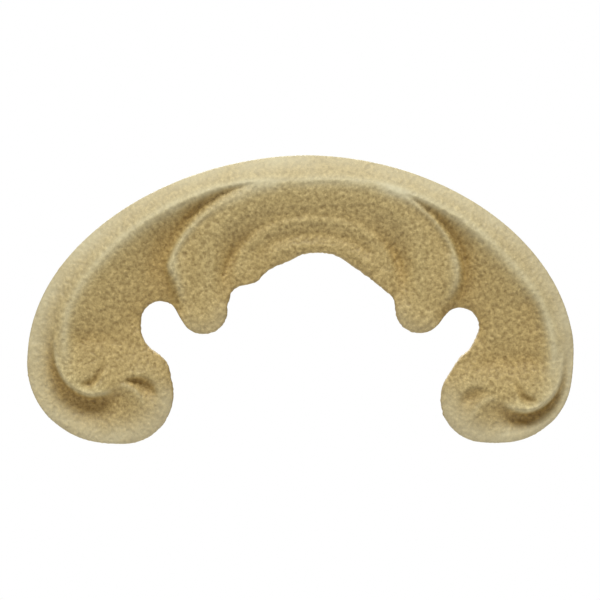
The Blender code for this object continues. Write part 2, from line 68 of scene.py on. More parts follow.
# Leaf inside the rim. Each line of it lies inside its arch by an inset, or outside it
# by an outset. Insets, outsets and heights run from the springing up to the crown.
LEAF_X = 2.9
LEAF_Z = -22.0
LEAF_HALF_WIDTH = 34.4
LEAF_RISE = 27.5
LEAF_POWER = 2.2
LEAF_LEAN = 0.6
LEFT_FOOT_OUTSETS = (1.5, 1.6, 2.0, 1.8, 1.1)
RIGHT_FOOT_OUTSETS = (1.5, 1.5, 1.1, 0.8, 0.6)
LEFT_FOOT = (3.8, 4.6, 5.3, 6.7, 8.2)
RIGHT_FOOT = (3.9, 4.8, 5.5, 6.7, 8.1)
LEAF_BEAD_WIDTH = 0.9
LEFT_BEAD = (5.2, 5.9, 6.5, 7.5, 8.5)
RIGHT_BEAD = (5.3, 6.1, 6.8, 7.6, 8.4)
LEAF_CREST_INSET = 0.2
LEAF_CREST = (6.8, 7.2, 7.8, 8.4, 8.7)
LEAF_GROOVE_INSET = 1.2
LEAF_GROOVE = (6.1, 6.5, 7.0, 7.7, 8.3)
CROWN_STEP_INSET = 0.9
CROWN_STEP = (8.5, 8.45, 8.5)
LEAF_FACE_INSET = 4.4
LEAF_FACE = (7.1, 7.6, 7.8, 8.0, 7.8, 7.6, 7.1)
LOBE_TOP = 6.4
LOBE_INSET = 2.4

# Nested tiers in the middle of the leaf: half width and rise of each line's arch, and
# its heights from right to left
TIER_X = 2.9
TIER_Z = -20.0
TIER_POWER = 2.2
TIER_VALLEY = (20.8, 17.3)
TIER_VALLEY_HEIGHTS = (4.3, 3.7, 5.0, 6.1, 6.6, 6.85, 6.7, 6.1, 4.8, 4.0, 4.4)
TIER_RIDGE = (18.9, 15.9)
TIER_RIDGE_HEIGHTS = (5.2, 5.6, 6.2, 6.85, 7.1, 6.95, 6.3, 5.6, 5.2)
TIER_COVE = (16.3, 12.9)
TIER_COVE_HEIGHTS = (5.2, 5.5, 5.85, 5.9, 5.85, 5.5, 5.2)
TIER_BEAD = (14.2, 10.4)
TIER_BEAD_HEIGHTS = (6.0, 6.1, 6.4, 6.5, 6.0)

# Volutes: outline arcs as (x, z, radius) and the point that their scrolls wind round
LEFT_FLANK = (-44.6, -36.6, 18.9)
LEFT_DISC = (-41.3, -44.2, 11.5)
LEFT_SCROLL = (-44.3, -43.6)
RIGHT_FLANK = (46.6, -39.2, 16.2)
RIGHT_DISC = (42.5, -45.4, 9.9)
RIGHT_SCROLL = (47.4, -46.7)

# Ring round each volute: insets from its two outline arcs, and heights along them
LEFT_RING_INSETS = (2.2, 1.5)
RIGHT_RING_INSETS = (0.9, 1.5)
RING_ON_FLANK = (4.7, 4.3, 3.8)
RING_ON_DISC = (3.8, 4.1, 4.5, 4.7)

# How each scroll departs from their shared shape, as (outward, up, height)
LEFT_SHIFTS = {"rim": (0.0, 0.0, 0.0), "lip": (-0.4, 0.5, 0.0), "eye": (0.0, 0.2, -1.0),
               "crease": (-0.8, 0.0, 0.0)}
RIGHT_SHIFTS = {"rim": (0.6, 0.0, 0.0), "lip": (0.0, 0.0, 0.0), "eye": (0.0, 0.8, 0.0),
                "crease": (0.0, -0.9, -0.2)}

# Deepest line beside each scroll's lip, and the low place where its arm ends, as
# (outward, up, height) from the scroll
LEFT_HOLLOW = ((11.8, 0.9, 2.7), (9.8, -2.0, 2.4), (6.8, -3.6, 2.1), (3.8, -4.0, 2.1), (0.8, -3.7, 2.7))
RIGHT_HOLLOW = ((12.1, 2.2, 2.7), (9.9, -1.4, 2.2), (7.2, -3.4, 1.9), (4.0, -4.0, 1.9), (1.0, -3.8, 2.4))
LEFT_LOW = ((7.4, 12.5, 5.3), (4.4, 12.5, 4.5), (1.5, 12.5, 4.2), (-2.0, 12.0, 4.1), (-5.0, 11.0, 3.7))
RIGHT_LOW = ((7.4, 10.4, 4.5), (4.4, 10.4, 3.8), (1.5, 10.2, 3.6), (-2.0, 10.0, 3.5), (-5.5, 9.5, 3.4))
RIGHT_ARM_FLOOR = ((5.2, 24.0, 5.4), (7.1, 19.5, 5.2), (7.8, 14.5, 4.9))

# Notches and lobes on the inner side: (x, z, radius)
LEFT_NOTCH = (-32.7, -27.2, 4.7)
LEFT_LOBE = (-22.6, -24.6, 5.5)
RIGHT_LOBE = (27.5, -24.4, 5.5)
RIGHT_NOTCH = (37.1, -28.5, 4.5)
INNER_ARCH = (3.8, -25.0, 13.8)
NOTCH_BANK = 2.4
NOTCH_BANK_HEIGHTS = (4.0, 4.3, 4.2)

# Heights of the other edges over the back
FLANK_EDGE = 4.4
VOLUTE_EDGE = 3.4
NECK_EDGE = 3.8
ARM_EDGE = 2.9
LOBE_EDGE = 5.6
TIER_FOOT_EDGE = 4.7
TIER_EDGE = 5.4
CROWN_EDGE = 6.1
EDGE_ROLL = 0.5

# How finely the surface is worked out
GRID_STEP = 0.125
GRID_LOW = (-66.0, -58.0)
GRID_HIGH = (66.0, 14.0)
SKIN_LEVELS = (16, 8, 4, 2, 1)
SKIN_PASSES = 160
SOFT_RADIUS = 0.8
CRISP_RADIUS = 0.3
CRISP_REACH = 0.9
CRISP_SHARE = 0.6
LINE_STEP = 0.12
SPAN_STEPS = 16
RIM_POINTS = 31
LEAF_POINTS = 13
TIER_POINTS = 25

# How finely it is meshed
OUTLINE_STEP = 0.27
EDGE_RINGS = (0.1, 0.25, 0.45, 0.7)
RING_SHARE = 0.94
POINT_STEP = 0.27
FIELD_GAP = 0.14
WALL_ROWS = 7
SAME_POINT = 1e-6
BATCH = 500
SHARP_ANGLE = 85.0

# Grain of the pulp: bands of (radius, height), then crumbs that stand up and pits,
# which are where a noise passes a level
GRAIN_SEED = 11
GRAIN_BANDS = ((0.17, 0.040), (0.35, 0.034), (1.1, 0.03), (3.5, 0.05))
CRUMB_RADIUS = 0.16
CRUMB_LEVEL = 1.6
CRUMB_HEIGHT = 0.08
PIT_RADIUS = 0.18
PIT_LEVEL = 1.7
PIT_DEPTH = 0.1
OVER_LEVEL_LIMIT = 1.5

# Side wall: how ragged it is, and how far its foot draws in where it meets the back
WALL_SEED = 12
WALL_GRAIN = 0.05
BACK_INSET = 0.12
FOOT_HEIGHT = 0.12

# What the colour's painted shade and highlight follow: how far a place stands over its
# surroundings, how high it lies over the back, and the grain alone
COVER_STEP = 0.5
FORM_RADIUS = 2.5
FORM_DEPTH = 1.2
LEVEL_HEIGHT = 5.8
LEVEL_DEPTH = 2.5
LEVEL_SHARE = 0.25
FINE_RADIUS = 0.6
FINE_DEPTH = 0.08

# Pale bands, partly wear and partly painted highlight on the raised edges and crests: how pale, and how
# wide they fade. They thin out in the hollows.
WIDE_WEAR_AND_HIGHLIGHT = 0.6
WIDE_WEAR_AND_HIGHLIGHT_RADIUS = 3.2
CREST_WEAR_AND_HIGHLIGHT = 0.35
CREST_WEAR_AND_HIGHLIGHT_RADIUS = 1.2
LOBE_WEAR_AND_HIGHLIGHT = 0.2
LOBE_WEAR_AND_HIGHLIGHT_RADIUS = 1.8
BEAD_WEAR_AND_HIGHLIGHT = 0.3
BEAD_WEAR_AND_HIGHLIGHT_RADIUS = 1.1
NARROW_WEAR_AND_HIGHLIGHT = 0.25
NARROW_WEAR_AND_HIGHLIGHT_RADIUS = 0.5
LOBE_POINTS = 200
WIDE_WEAR_AND_HIGHLIGHT_START = 1.3
WEAR_AND_HIGHLIGHT_START = 0.1
WEAR_AND_HIGHLIGHT_GAIN = 1.2
WEAR_AND_HIGHLIGHT_PATCH_RADIUS = 1.6
WEAR_AND_HIGHLIGHT_PATCH_DEPTH = 0.1

# Finish: tints are linear colours, scales are per metre. Noise is spread over its
# middle span, where nearly all of it lies.
NOISE_LOW = 0.3
NOISE_HIGH = 0.7
MOTTLE_SCALE = 260.0
MOTTLE_DETAIL = 3.0
MOTTLE_DARK = (0.43, 0.34, 0.150)
MOTTLE_PALE = (0.48, 0.385, 0.180)
# Painted shade in the hollows and painted highlight on raised places, following how raised a place is
HOLLOW_SHADE_TINT = (0.85, 0.74, 0.54)
CREST_HIGHLIGHT_TINT = (1.05, 1.08, 1.12)
# Painted shade in the grain's pits and painted highlight on its crumbs
PIT_SHADE_TINT = (0.68, 0.64, 0.56)
CRUMB_HIGHLIGHT_TINT = (1.18, 1.19, 1.2)
# Colour of the pale bands: partly wear, partly painted highlight
WEAR_AND_HIGHLIGHT_COLOR = (0.605, 0.568, 0.385)
SHEEN_LEVEL = 0.5
DULL_DETAIL = 2.0
ROUGHNESS_RANGE = (0.56, 0.7)
SPECK_SCALE = 3400.0
SPECK_DETAIL = 2.0
SPECK_ROUGHNESS = 0.6
SPECK_DARK = (0.79, 0.78, 0.75)
SPECK_PALE = (1.2, 1.205, 1.21)
BUMP_SCALE = 4200.0
BUMP_DETAIL = 3.0
BUMP_ROUGHNESS = 0.65
BUMP_STRENGTH = 0.6
BUMP_DEPTH = 0.12

# Camera: straight in front, with the view's width and centre at the piece
CAMERA_DISTANCE = 400.0
VIEW_WIDTH = 139.05
VIEW_CENTRE = (-0.23, -22.25)
MEAN_DEPTH = 4.0
SENSOR_WIDTH = 36.0

# Studio: places and sizes here are in metres, and powers in watts
KEY_PLACE = (-0.03, -0.43, 0.60)
KEY_TARGET = (0.0, 0.0, -0.022)
KEY_SIZE = (1.2, 0.3)
KEY_POWER = 8.15
KEY_COLOR = (0.97, 1.0, 1.03)
REAR_PLACE = (-0.1, 0.5, 0.35)
REAR_SIZE = (0.4, 0.4)
REAR_POWER = 5.0
FILL_COLOR = (1.0, 0.82, 0.6)
FILL_STRENGTH = 0.29
FLOOR_SIZE = 2.4
FLOOR_Z = -0.32
FLOOR_COLOR = (0.84, 0.84, 0.83)
FLOOR_ROUGHNESS = 0.9


# Curves

def arch(centre, half_width, rise, power, start, end, count, lean=0.0):
    """Points of a superellipse; 0 degrees is its right springing and 90 its crown.
    A lean lifts its right shoulder and lowers its left one by that much."""
    turn = np.radians(np.linspace(start, end, count))
    across = np.sign(np.cos(turn)) * np.abs(np.cos(turn)) ** (2.0 / power)
    up = np.sign(np.sin(turn)) * np.abs(np.sin(turn)) ** (2.0 / power)
    lift = lean * np.sin(2.0 * turn)
    return np.column_stack([centre[0] + half_width * across, centre[1] + rise * up + lift])


def arc(circle, start, end, count, inset=0.0):
    """Points of a circle (x, z, radius), or of one drawn inside it."""
    radius = circle[2] - inset
    return arch(circle[:2], radius, radius, 2.0, start, end, count)


def spread(values, count):
    """The values drawn out to a longer row, evenly."""
    return np.interp(np.linspace(0.0, 1.0, count), np.linspace(0.0, 1.0, len(values)), values)


def with_heights(points, heights):
    """Points (x, z) with heights spread evenly along them."""
    points = np.asarray(points, dtype=float)
    return np.column_stack([points, spread(heights, len(points))])


def smooth_line(points, spacing, closed=False):
    """Evenly spaced points (x, z, height) on a centripetal Catmull-Rom curve."""
    points = np.asarray(points, dtype=float)
    if closed:
        padded = np.vstack([points[-1:], points, points[:2]])
    else:
        padded = np.vstack([2 * points[0] - points[1], points, 2 * points[-1] - points[-2]])
    pieces = []
    for i in range(1, len(padded) - 2):
        p0, p1, p2, p3 = padded[i - 1:i + 3]
        t1 = max(np.linalg.norm((p1 - p0)[:2]), SAME_POINT) ** 0.5
        t2 = t1 + max(np.linalg.norm((p2 - p1)[:2]), SAME_POINT) ** 0.5
        t3 = t2 + max(np.linalg.norm((p3 - p2)[:2]), SAME_POINT) ** 0.5
        t = np.linspace(t1, t2, SPAN_STEPS, endpoint=False)[:, None]
        a1 = (t1 - t) / t1 * p0 + t / t1 * p1
        a2 = (t2 - t) / (t2 - t1) * p1 + (t - t1) / (t2 - t1) * p2
        a3 = (t3 - t) / (t3 - t2) * p2 + (t - t2) / (t3 - t2) * p3
        b1 = (t2 - t) / t2 * a1 + t / t2 * a2
        b2 = (t3 - t) / (t3 - t1) * a2 + (t - t1) / (t3 - t1) * a3
        pieces.append((t2 - t) / (t2 - t1) * b1 + (t - t1) / (t2 - t1) * b2)
    pieces.append(points[:1] if closed else points[-1:])
    curve = np.vstack(pieces)
    steps = np.linalg.norm(np.diff(curve[:, :2], axis=0), axis=1)
    along = np.concatenate([[0.0], np.cumsum(steps)])
    wanted = np.linspace(0.0, along[-1], max(2, int(round(along[-1] / spacing)) + 1))
    if closed:
        wanted = wanted[:-1]
    return np.column_stack([np.interp(wanted, along, column) for column in curve.T])


def outline_curve(spacing):
    """The silhouette, anticlockwise from the right springing, with its edge's height."""
    outer_arch = arch((0.0, ARCH_Z), ARCH_HALF_WIDTH, ARCH_RISE, ARCH_POWER, 4, 176, 33, ARCH_LEAN)
    strokes = [
        (RIM_EDGE, outer_arch),
        (FLANK_EDGE, arc(LEFT_FLANK, 186, 220, 3)),
        (VOLUTE_EDGE, arc(LEFT_FLANK, 230, 262, 4)),
        (VOLUTE_EDGE, arc(LEFT_DISC, 268, 376, 9)),
        (NECK_EDGE, [(-31.1, -37.2), (-32.7, -35.3), (-34.6, -34.0), (-36.3, -32.2), (-37.2, -30.2)]),
        (ARM_EDGE, arc(LEFT_NOTCH, 185, 55, 7)),
        (LOBE_EDGE, arc(LEFT_LOBE, 205, 370, 8)),
        (TIER_FOOT_EDGE, [(-16.8, -22.4), (-16.2, -20.4), (-14.6, -19.1)]),
        (TIER_EDGE, [(-12.3, -18.6), (-10.2, -17.9), (-8.7, -16.3), (-6.9, -14.9), (-2.4, -13.0)]),
        (CROWN_EDGE, arc(INNER_ARCH, 107, 70, 4)),
        (TIER_EDGE, [(12.3, -14.5), (15.8, -17.0), (19.6, -20.1)]),
        (TIER_FOOT_EDGE, [(21.4, -21.7)]),
        (LOBE_EDGE, arc(RIGHT_LOBE, 175, 320, 7)),
        (ARM_EDGE, arc(RIGHT_NOTCH, 135, -30, 8)),
        (NECK_EDGE, [(39.2, -33.8), (37.4, -35.4), (36.0, -37.2)]),
        (VOLUTE_EDGE, arc(RIGHT_DISC, 142, 262, 8)),
        (VOLUTE_EDGE, arc(RIGHT_FLANK, 272, 310, 4)),
        (FLANK_EDGE, arc(RIGHT_FLANK, 320, 355, 3)),
    ]
    corners = np.vstack([with_heights(points, np.atleast_1d(height)) for height, points in strokes])
    return smooth_line(corners, spacing, closed=True)


# Crests and valleys of the relief. Each is (points (x, z, height), crisp).

def shifted(points, shift):
    return [tuple(np.add(point, shift)) for point in points]


def on_scroll(scroll, points):
    """Points (outward, up, height) from a scroll's centre, placed on its own side."""
    side = np.sign(scroll[0])
    return [(scroll[0] + side * out, scroll[1] + up, height) for out, up, height in points]


def rim_lines():
    """The rim's crest, which runs on into a volute at each end."""
    width = spread(RIM_WIDTHS, RIM_POINTS)
    half_width = ARCH_HALF_WIDTH - width
    rise = ARCH_RISE - width
    crest = arch((0.0, ARCH_Z), half_width, rise, ARCH_POWER, 16, 164, RIM_POINTS, ARCH_LEAN)
    tail = [(10.2, 13.2, 7.0), (10.1, 9.6, 6.7), (9.3, 6.4, 6.4)]
    right_tail = on_scroll(RIGHT_SCROLL, shifted(tail[::-1], RIGHT_SHIFTS["rim"]))
    left_tail = on_scroll(LEFT_SCROLL, shifted(tail, LEFT_SHIFTS["rim"]))
    return [(right_tail + list(with_heights(crest, RIM_CREST)) + left_tail, True)]


def leaf_arch(inset, start, end, count):
    half_width = LEAF_HALF_WIDTH - inset
    rise = LEAF_RISE - inset
    return arch((LEAF_X, LEAF_Z), half_width, rise, LEAF_POWER, start, end, count, LEAF_LEAN)


def leaf_line(inset, start, end, heights):
    """A line of the leaf, a steady or a varying inset inside its arch."""
    insets = spread(np.atleast_1d(inset), LEAF_POINTS)
    return list(with_heights(leaf_arch(insets, start, end, LEAF_POINTS), heights))


def leaf_beads():
    """The rounded outer edge of the leaf, left and right, just inside its foot."""
    left = leaf_line(LEAF_BEAD_WIDTH - np.array(LEFT_FOOT_OUTSETS), 164, 111, LEFT_BEAD)
    right = leaf_line(LEAF_BEAD_WIDTH - np.array(RIGHT_FOOT_OUTSETS), 16, 54, RIGHT_BEAD)
    return [left, right]


def leaf_crests():
    """The leaf's raised border, left and right, from its lobes up to the rim. The left
    one moves in at last to meet the step at the crown."""
    inwards = np.linspace(0.0, 1.0, LEAF_POINTS) ** 3
    meeting = LEAF_CREST_INSET + (CROWN_STEP_INSET - LEAF_CREST_INSET) * inwards
    left_end = [(-27.2, -24.6, 5.2), (-28.0, -21.0, 5.7), (-28.9, -17.4, 6.2)]
    right_end = [(32.4, -25.2, 5.0), (34.6, -21.4, 5.5), (36.1, -18.2, 6.1)]
    left = left_end + leaf_line(meeting, 166, 102, LEAF_CREST)
    right = right_end + leaf_line(LEAF_CREST_INSET, 14, 66, LEAF_CREST)
    return [left, right]


def leaf_lines():
    """The leaf: its border, edge, foot, groove and crown step, then its face, the trough
    at the left, the bank round the right notch, and the spines and lobes at its ends."""
    left_end = [(-30.0, -21.6, 3.2), (-31.1, -18.0, 3.5)]
    right_end = [(37.0, -21.9, 3.2), (38.2, -18.2, 3.6)]
    left_foot = left_end + leaf_line(-np.array(LEFT_FOOT_OUTSETS), 164, 111, LEFT_FOOT)
    right_foot = right_end + leaf_line(-np.array(RIGHT_FOOT_OUTSETS), 16, 54, RIGHT_FOOT)
    left_groove = leaf_line(LEAF_GROOVE_INSET, 160, 118, LEAF_GROOVE)
    right_groove = leaf_line(LEAF_GROOVE_INSET, 20, 62, LEAF_GROOVE)
    crown_step = leaf_line(CROWN_STEP_INSET, 68, 112, CROWN_STEP)
    crisp_lines = leaf_crests() + leaf_beads()
    crisp_lines += [left_foot, right_foot, left_groove, right_groove, crown_step]
    face = leaf_line(LEAF_FACE_INSET, 32, 148, LEAF_FACE)
    trough = [(-31.5, -6.6, 4.9), (-34.2, -12.6, 3.9), (-34.4, -18.0, 3.3)]
    bank = with_heights(arc(RIGHT_NOTCH, 60, -25, 7, -NOTCH_BANK), NOTCH_BANK_HEIGHTS)
    left_spine = [(-20.8, -8.0, 6.9), (-20.8, -13.5, 6.7), (-21.0, -18.0, 6.5), (-21.8, -22.0, LOBE_TOP)]
    right_spine = [(27.2, -8.0, 6.9), (27.0, -13.5, 6.7), (27.2, -18.0, 6.5), (27.5, -22.0, LOBE_TOP)]
    left_lobe = with_heights(arc(LEFT_LOBE, 195, 375, 9, LOBE_INSET), [LOBE_TOP])
    right_lobe = with_heights(arc(RIGHT_LOBE, 165, 345, 9, LOBE_INSET), [LOBE_TOP])
    soft_lines = [face, trough, bank, left_spine, right_spine, left_lobe, right_lobe]
    return [(line, True) for line in crisp_lines] + [(line, False) for line in soft_lines]


def tier_arch(tier, start, end, heights):
    half_width, rise = tier
    points = arch((TIER_X, TIER_Z), half_width, rise, TIER_POWER, start, end, TIER_POINTS)
    return with_heights(points, heights)


def tier_lines():
    """The two ribs and the two hollows at the crown, with a knob at each end."""
    right_run = [(22.3, -21.0, TIER_FOOT_EDGE), (23.1, -19.2, TIER_FOOT_EDGE)]
    left_run = [(-17.2, -19.0, TIER_FOOT_EDGE), (-16.6, -20.7, TIER_FOOT_EDGE)]
    valley = right_run + list(tier_arch(TIER_VALLEY, 8, 172, TIER_VALLEY_HEIGHTS)) + left_run
    ridge = tier_arch(TIER_RIDGE, 14, 166, TIER_RIDGE_HEIGHTS)
    cove = tier_arch(TIER_COVE, 40, 142, TIER_COVE_HEIGHTS)
    bead = tier_arch(TIER_BEAD, 24, 130, TIER_BEAD_HEIGHTS)
    left_knob = [(-15.0, -14.2, 5.4), (-14.7, -16.0, 5.5), (-13.2, -16.9, 5.5), (-10.9, -16.2, 5.4)]
    right_knob = [(20.9, -14.4, 5.4), (20.6, -16.2, 5.5), (19.2, -16.9, 5.5), (16.8, -15.2, 5.4)]
    crisp_lines = [(line, True) for line in (valley, ridge, cove, bead)]
    return crisp_lines + [(left_knob, False), (right_knob, False)]


def ring_line(flank, flank_turn, disc, disc_turn, insets):
    """Crest of the ring round a volute, a little inside its two outline arcs."""
    outer = arc(flank, flank_turn[0], flank_turn[1], 7, spread(insets, 7))
    inner = arc(disc, disc_turn[0], disc_turn[1], 10, insets[1])
    return np.vstack([with_heights(outer, RING_ON_FLANK), with_heights(inner, RING_ON_DISC)])


def scroll_lip(scroll, shifts):
    """Crest of the band that winds into a volute, crossing it in an S."""
    winding = [(13.1, 11.8, 6.0), (13.0, 9.4, 6.1), (12.6, 6.6, 6.4), (11.7, 4.2, 6.8), (10.3, 2.2, 7.1),
               (8.7, 0.8, 7.1), (6.8, -0.4, 7.0), (4.8, -1.0, 6.9), (2.8, -0.9, 6.4)]
    crossing = [(0.8, -0.3, 5.6), (-1.2, 1.0, 4.9), (-3.2, 1.6, 5.4), (-5.2, 1.0, 5.3), (-6.9, -0.6, 5.1),
                (-8.0, -3.0, 4.7)]
    return on_scroll(scroll, shifted(winding, shifts["lip"]) + crossing)


def scroll_lines(scroll, shifts, hollow, low):
    """Winding of a volute: its lip and what lies beside it."""
    foot = [(14.0, 12.6, 5.2), (13.9, 10.0, 4.8), (13.6, 7.2, 4.2), (12.8, 4.2, 3.5), (11.4, 1.6, 3.0),
            (9.7, -0.2, 2.7), (7.3, -1.6, 2.5), (4.9, -2.2, 2.4), (2.5, -2.1, 2.7)]
    foot_end = [(0.1, -1.4, 3.4), (-2.4, -0.6, 4.3)]
    ring_root = [(-2.5, 5.0, 4.9), (-0.3, 3.2, 5.2)]
    eye = [(-4.2, 2.6, 4.9), (-5.8, 2.4, 4.2), (-7.6, 1.8, 3.7), (-9.2, 0.7, 3.7), (-10.0, -0.8, 4.2)]
    eye_roof = [(-3.6, 2.9, 5.2), (-5.2, 3.4, 5.4), (-7.0, 3.9, 5.5), (-8.8, 3.5, 5.4), (-10.3, 2.2, 5.2),
                (-11.2, 0.4, 4.9), (-11.4, -1.6, 4.6)]
    crease = [(2.0, 6.3, 4.9), (3.0, 4.7, 4.8), (3.8, 3.0, 4.6), (4.9, 1.9, 4.6), (6.6, 1.8, 5.1)]
    crease_inner = [(1.1, 5.8, 5.1), (2.1, 4.1, 5.5), (3.0, 2.4, 5.9), (4.4, 1.1, 6.3)]
    crease_outer = [(3.0, 6.6, 5.2), (4.0, 5.1, 5.6), (4.9, 3.7, 6.0), (6.7, 2.9, 6.3)]
    roof_shift = shifts["eye"][:2] + (0.0,)
    crisp_lines = [shifted(foot, shifts["lip"]) + foot_end, shifted(eye_roof, roof_shift)]
    crisp_lines += [shifted(line, shifts["crease"]) for line in (crease, crease_inner, crease_outer)]
    soft_lines = [hollow, low, ring_root, shifted(eye, shifts["eye"])]
    placed = [(on_scroll(scroll, points), True) for points in crisp_lines]
    placed += [(on_scroll(scroll, points), False) for points in soft_lines]
    return placed + [(scroll_lip(scroll, shifts), True)]


def relief_lines():
    """Every line of the relief as evenly spaced points, the outline first."""
    lines = rim_lines() + leaf_lines() + tier_lines()
    lines.append((ring_line(LEFT_FLANK, (172, 256), LEFT_DISC, (272, 402), LEFT_RING_INSETS), False))
    lines.append((ring_line(RIGHT_FLANK, (368, 286), RIGHT_DISC, (264, 134), RIGHT_RING_INSETS), False))
    lines.append((on_scroll(RIGHT_SCROLL, RIGHT_ARM_FLOOR), False))
    lines += scroll_lines(LEFT_SCROLL, LEFT_SHIFTS, LEFT_HOLLOW, LEFT_LOW)
    lines += scroll_lines(RIGHT_SCROLL, RIGHT_SHIFTS, RIGHT_HOLLOW, RIGHT_LOW)
    traced = [(outline_curve(LINE_STEP), True)]
    for points, crisp in lines:
        traced.append((smooth_line(points, LINE_STEP), crisp))
    return traced


# Surface between the lines

def grid_place(points, step):
    column = np.round((points[:, 0] - GRID_LOW[0]) / step).astype(int)
    row = np.round((points[:, 1] - GRID_LOW[1]) / step).astype(int)
    return row, column


def grid_shape(step):
    rows = int(round((GRID_HIGH[1] - GRID_LOW[1]) / step)) + 1
    columns = int(round((GRID_HIGH[0] - GRID_LOW[0]) / step)) + 1
    return rows, columns


def stretched_skin(lines):
    """Heights on a grid, held on the lines and stretched like a skin between them."""
    skin = None
    for step in GRID_STEP * np.array(SKIN_LEVELS):
        rows, columns = grid_shape(step)
        total = np.zeros((rows, columns))
        count = np.zeros((rows, columns))
        for points, _ in lines:
            place = grid_place(points, step)
            np.add.at(total, place, points[:, 2])
            np.add.at(count, place, 1.0)
        held = count > 0
        fixed = total / np.maximum(count, 1.0)
        if skin is None:
            skin = np.full((rows, columns), fixed[held].mean())
        else:
            skin = np.repeat(np.repeat(skin, 2, axis=0), 2, axis=1)[:rows, :columns]
        skin = np.where(held, fixed, skin)
        for _ in range(SKIN_PASSES):
            padded = np.pad(skin, 1, mode="edge")
            mean = (padded[2:, 1:-1] + padded[:-2, 1:-1] + padded[1:-1, 2:] + padded[1:-1, :-2]) / 4
            skin = np.where(held, fixed, mean)
    return skin


def blur(field, radius):
    """Gaussian blur by a radius in grid steps."""
    reach = int(3 * radius) + 1
    weights = np.exp(-0.5 * (np.arange(-reach, reach + 1) / radius) ** 2)
    weights /= weights.sum()
    padded = np.pad(field, reach, mode="edge")
    rows, columns = field.shape
    across = sum(w * padded[:, i:i + columns] for i, w in enumerate(weights))
    return sum(w * across[i:i + rows] for i, w in enumerate(weights))


def relief_field():
    """The relief's heights on the grid: crisp along the crisp lines, softer elsewhere."""
    lines = relief_lines()
    skin = stretched_skin(lines)
    mask = np.zeros(skin.shape)
    for points, crisp in lines:
        if crisp:
            mask[grid_place(points, GRID_STEP)] = 1.0
    on_line = CRISP_SHARE * GRID_STEP / (CRISP_REACH * np.sqrt(2 * np.pi))
    near = np.clip(blur(mask, CRISP_REACH / GRID_STEP) / on_line, 0.0, 1.0)
    crisp_skin = blur(skin, CRISP_RADIUS / GRID_STEP)
    soft_skin = blur(skin, SOFT_RADIUS / GRID_STEP)
    return near * crisp_skin + (1.0 - near) * soft_skin


def field_at(field, points):
    """The field read between its grid points."""
    column = (points[:, 0] - GRID_LOW[0]) / GRID_STEP
    row = (points[:, 1] - GRID_LOW[1]) / GRID_STEP
    c = np.clip(column.astype(int), 0, field.shape[1] - 2)
    r = np.clip(row.astype(int), 0, field.shape[0] - 2)
    u = column - c
    v = row - r
    low = field[r, c] * (1 - u) + field[r, c + 1] * u
    high = field[r + 1, c] * (1 - u) + field[r + 1, c + 1] * u
    return low * (1 - v) + high * v


# Mesh

def distance_to(points, others):
    """Distance from each point to the nearest of the others."""
    nearest = np.empty(len(points))
    for i in range(0, len(points), BATCH):
        gap = points[i:i + BATCH, None, :2] - others[None, :, :2]
        nearest[i:i + BATCH] = np.sqrt((gap ** 2).sum(axis=2).min(axis=1))
    return nearest


def inside(points, outline):
    """Whether each point lies inside the closed outline."""
    crossings = np.zeros(len(points), dtype=int)
    ends = np.roll(outline, -1, axis=0)
    for (x0, z0), (x1, z1) in zip(outline[:, :2], ends[:, :2]):
        spans = (points[:, 1] < z0) != (points[:, 1] < z1)
        if spans.any():
            at_x = x0 + (points[:, 1] - z0) * (x1 - x0) / (z1 - z0)
            crossings += spans & (points[:, 0] < at_x)
    return crossings % 2 == 1


# Skin of the pressed pulp

def grain_band(rng, radius, depth):
    """Smoothed noise over the grid, with bumps about two radii across."""
    band = blur(rng.standard_normal(grid_shape(GRID_STEP)), radius / GRID_STEP)
    return depth * band / band.std()


def grid_cover():
    """Whether each place of the grid lies on the piece."""
    rows, columns = grid_shape(GRID_STEP)
    across, up = np.meshgrid(np.arange(columns), np.arange(rows))
    places = GRID_LOW + GRID_STEP * np.column_stack([across.ravel(), up.ravel()])
    return inside(places, outline_curve(COVER_STEP)).reshape(rows, columns)


def band_along(points, radius):
    """How near each place of the grid lies to a line, 1 on it and fading beside it."""
    mask = np.zeros(grid_shape(GRID_STEP))
    mask[grid_place(points, GRID_STEP)] = 1.0
    on_line = GRID_STEP / (radius * np.sqrt(2 * np.pi))
    return np.clip(blur(mask, radius / GRID_STEP) / on_line, 0.0, 1.0)


